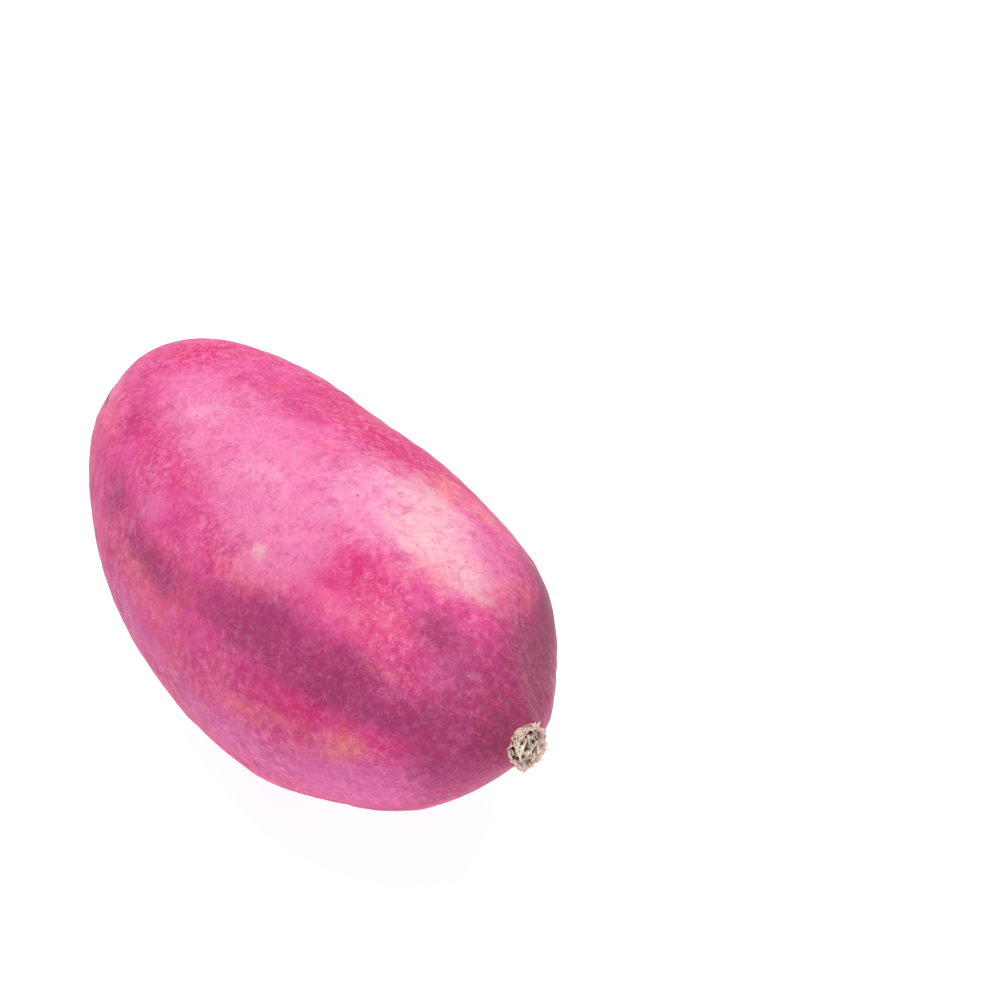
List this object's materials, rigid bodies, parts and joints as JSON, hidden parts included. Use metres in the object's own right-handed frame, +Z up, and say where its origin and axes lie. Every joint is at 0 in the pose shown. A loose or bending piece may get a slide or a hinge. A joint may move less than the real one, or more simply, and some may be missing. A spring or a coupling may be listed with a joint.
{
  "type": "sweet potato",
  "caption": "Whole raw sweet potato with pink-magenta skin: a short, stout tuber, round at the tail and drawn in to a torn stem stub.",
  "frame": {"origin": "on the surface the tuber rests on, below the middle of its length and width", "axes": "+Z up, +X along the length toward the stem end, tail end at -X"},
  "size_m": [0.1548, 0.0802, 0.0738],
  "materials": {
    "skin": "satin, mottled pink-magenta skin with a pale bloom"
  },
  "bodies": {
    "root": {"sweet_potato": "skin"}
  },
  "joints": []
}
